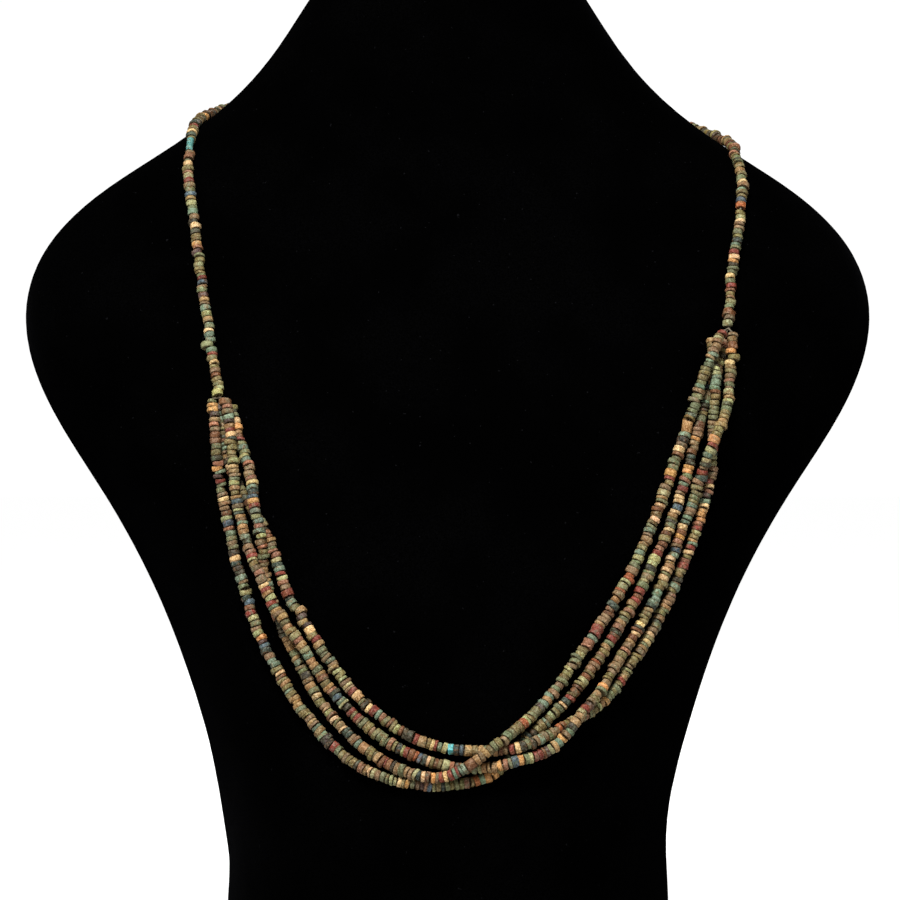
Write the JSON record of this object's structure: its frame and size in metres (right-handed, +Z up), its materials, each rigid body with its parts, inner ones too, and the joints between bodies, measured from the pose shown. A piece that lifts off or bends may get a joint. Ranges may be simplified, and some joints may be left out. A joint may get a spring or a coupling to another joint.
{
  "type": "mummy bead necklace on neck bust",
  "caption": "Necklace of small weathered disc beads that divides into several strands in front, worn by a plain velvet neck bust with a flat foot.",
  "frame": {"origin": "middle of the bust's flat foot, on the surface it stands on", "axes": "+Z up, the chest and the necklace's front face -Y, +X to the right of someone who looks at the chest"},
  "size_m": [0.2192, 0.1284, 0.27],
  "materials": {
    "bust_velvet": "black velvet",
    "thread": "twisted cotton",
    "neck_beads_left": "weathered matte",
    "neck_beads_right": "weathered matte",
    "tube_bead_glaze": "worn turquoise glaze",
    "gathering_bead_left_glaze": "weathered matte",
    "gathering_bead_right_glaze": "weathered matte",
    "strand_1_beads": "weathered matte",
    "strand_2_beads": "weathered matte",
    "strand_3_beads": "weathered matte",
    "strand_4_beads": "weathered matte"
  },
  "bodies": {
    "root": {"neck_bust": "bust_velvet", "neck_thread": "thread", "neck_string_left": "neck_beads_left", "neck_string_right": "neck_beads_right", "tube_bead": "tube_bead_glaze", "gathering_bead_left": "gathering_bead_left_glaze", "gathering_bead_right": "gathering_bead_right_glaze", "strand_1": "strand_1_beads", "strand_2": "strand_2_beads", "strand_3": "strand_3_beads", "strand_4": "strand_4_beads"}
  },
  "joints": []
}
